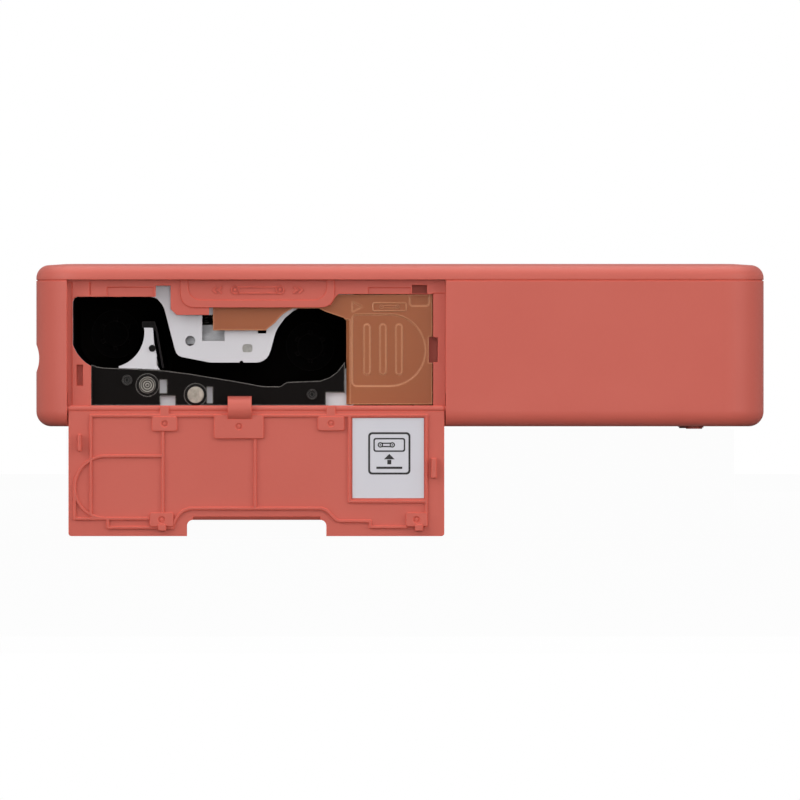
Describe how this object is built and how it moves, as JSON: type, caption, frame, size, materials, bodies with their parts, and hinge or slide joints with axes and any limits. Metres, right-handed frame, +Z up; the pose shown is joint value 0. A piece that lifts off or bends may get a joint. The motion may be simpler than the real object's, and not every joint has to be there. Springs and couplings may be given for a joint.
{
  "type": "compact photo printer",
  "caption": "Flat coral pocket photo printer with a hanging ink bay door, eject lever, spool chambers, print slot and hinged paper cover on top.",
  "frame": {"origin": "centre of the housing in plan, on the plane of the underside of the feet", "axes": "+X along the housing away from the print slot, +Y away from the ink bay, +Z up"},
  "size_m": [0.1464, 0.1045, 0.0547],
  "materials": {
    "coral": "fine moulded texture, matte",
    "coral_top": "fine moulded texture, matte",
    "brown": "smooth moulded, satin",
    "pale_plastic": "smooth moulded, satin",
    "black_plastic": "moulded, matte",
    "black_frame": "black coated sheet metal",
    "steel": "turned and pressed steel",
    "aluminium": "extruded",
    "brass": "turned",
    "rubber": "ground rubber",
    "ceramic": "glazed ceramic strip",
    "board": "circuit board with solder mask",
    "battery_wrap": "plastic wrap",
    "lamp": "clear diffuse light guide",
    "sticker": "printed film",
    "spring_steel": "drawn wire"
  },
  "bodies": {
    "housing": {"lower_case": "coral", "upper_case": "coral_top", "feet": "coral", "case_screws": "steel", "bay_bezel": "coral", "lever_spring": "spring_steel", "front_side_plate": "pale_plastic", "rear_side_plate": "steel", "lower_frame": "black_frame", "frame_screws": "steel", "cassette_tunnel": "black_plastic", "ribbon_guide": "pale_plastic", "guide_edging": "black_plastic", "roller_bearings": "black_plastic", "head_pivot_shaft": "steel", "head_spring": "spring_steel", "ribbon_motor": "steel", "feed_motor": "steel", "exit_guide": "black_plastic", "lower_paper_guide": "black_plastic", "battery_tray": "black_plastic", "battery": "battery_wrap", "main_board": "board", "charging_port": "steel", "status_lamps": "lamp", "turn_guide_outer": "black_plastic", "turn_guide_inner": "black_plastic", "paper_tray": "black_plastic", "pickup_motor": "steel", "latch_spring": "spring_steel"},
    "ink_door": {"ink_door": "coral", "door_label": "sticker"},
    "eject_lever": {"eject_lever": "brown"},
    "platen": {"platen_shaft": "steel", "platen_roller": "rubber"},
    "capstan": {"capstan_roller": "steel", "capstan_gear": "pale_plastic"},
    "feed_pinion": {"feed_pinion": "brass"},
    "pinch": {"pinch_roller": "steel"},
    "print_head": {"head_arm": "steel", "heat_sink": "aluminium", "thermal_head": "ceramic"},
    "supply_drive": {"supply_coupler": "black_plastic"},
    "takeup_drive": {"takeup_coupler": "black_plastic", "takeup_gear": "pale_plastic"},
    "ribbon_pinion": {"ribbon_pinion": "brass"},
    "pickup": {"pickup_shaft": "steel", "pickup_roller": "rubber", "pickup_gear": "pale_plastic"},
    "pickup_pinion": {"pickup_pinion": "brass"},
    "paper_cover": {"paper_cover": "coral_top"},
    "pressure_plate": {"pressure_plate": "steel"},
    "cover_latch": {"cover_latch": "coral"},
    "power_button": {"power_button": "pale_plastic"}
  },
  "joints": [
    {"name": "door_hinge", "type": "hinge", "parent": "housing", "child": "ink_door", "pos_m": [0, -0.04995, 0.00408], "axis": [-1, 0, 0], "range_deg": [0, 180]},
    {"name": "eject_slide", "type": "slide", "parent": "housing", "child": "eject_lever", "axis": [1, 0, 0], "range_m": [0, 0.003], "stiffness_N_per_m": 150, "deforming": ["lever_spring"]},
    {"name": "capstan_spin", "type": "hinge", "parent": "housing", "child": "capstan", "pos_m": [-0.0508, 0, 0.0088], "axis": [0, 1, 0], "continuous": true},
    {"name": "feed_pinion_spin", "type": "hinge", "parent": "housing", "child": "feed_pinion", "pos_m": [-0.0602, 0, 0.00635], "axis": [0, 1, 0], "continuous": true},
    {"name": "platen_spin", "type": "hinge", "parent": "housing", "child": "platen", "pos_m": [-0.0411, 0, 0.00685], "axis": [0, 1, 0], "continuous": true},
    {"name": "pinch_spin", "type": "hinge", "parent": "housing", "child": "pinch", "pos_m": [-0.0505, 0, 0.0131], "axis": [0, 1, 0], "continuous": true},
    {"name": "takeup_spin", "type": "hinge", "parent": "housing", "child": "takeup_drive", "pos_m": [-0.0185, 0, 0.0168], "axis": [0, 1, 0], "continuous": true},
    {"name": "ribbon_pinion_spin", "type": "hinge", "parent": "housing", "child": "ribbon_pinion", "pos_m": [-0.0048, 0, 0.0168], "axis": [0, 1, 0], "continuous": true},
    {"name": "supply_spin", "type": "hinge", "parent": "housing", "child": "supply_drive", "pos_m": [-0.0585, 0, 0.0194], "axis": [0, 1, 0], "continuous": true},
    {"name": "head_pivot", "type": "hinge", "parent": "housing", "child": "print_head", "pos_m": [-0.0307, 0, 0.0162], "axis": [0, -1, 0], "range_deg": [0, 19], "stiffness_Nm_per_rad": 0.05, "deforming": ["head_spring"]},
    {"name": "pickup_spin", "type": "hinge", "parent": "housing", "child": "pickup", "pos_m": [0.038, 0, 0.0242], "axis": [0, 1, 0], "continuous": true},
    {"name": "pickup_pinion_spin", "type": "hinge", "parent": "housing", "child": "pickup_pinion", "pos_m": [0.0286, 0, 0.0242], "axis": [0, 1, 0], "continuous": true},
    {"name": "cover_hinge", "type": "hinge", "parent": "housing", "child": "paper_cover", "pos_m": [0.0489, 0, 0.0322], "axis": [0, 1, 0], "range_deg": [0, 95]},
    {"name": "pressure_plate_hinge", "type": "hinge", "parent": "paper_cover", "child": "pressure_plate", "pos_m": [0.01, 0, 0.0312], "axis": [0, -1, 0], "range_deg": [0, 3]},
    {"name": "cover_latch_slide", "type": "slide", "parent": "housing", "child": "cover_latch", "axis": [1, 0, 0], "range_m": [0, 0.003], "stiffness_N_per_m": 150, "deforming": ["latch_spring"]},
    {"name": "power_button_press", "type": "slide", "parent": "housing", "child": "power_button", "axis": [0, -1, 0], "range_m": [0, 0.0006], "stiffness_N_per_m": 800}
  ],
  "couplings": [
    {"joint": "feed_pinion_spin", "follows": "capstan_spin", "ratio": -1.6667},
    {"joint": "platen_spin", "follows": "capstan_spin", "ratio": 0.66667},
    {"joint": "pinch_spin", "follows": "capstan_spin", "ratio": -1.2222},
    {"joint": "ribbon_pinion_spin", "follows": "takeup_spin", "ratio": -1.5},
    {"joint": "pickup_pinion_spin", "follows": "pickup_spin", "ratio": -1.6667}
  ]
}
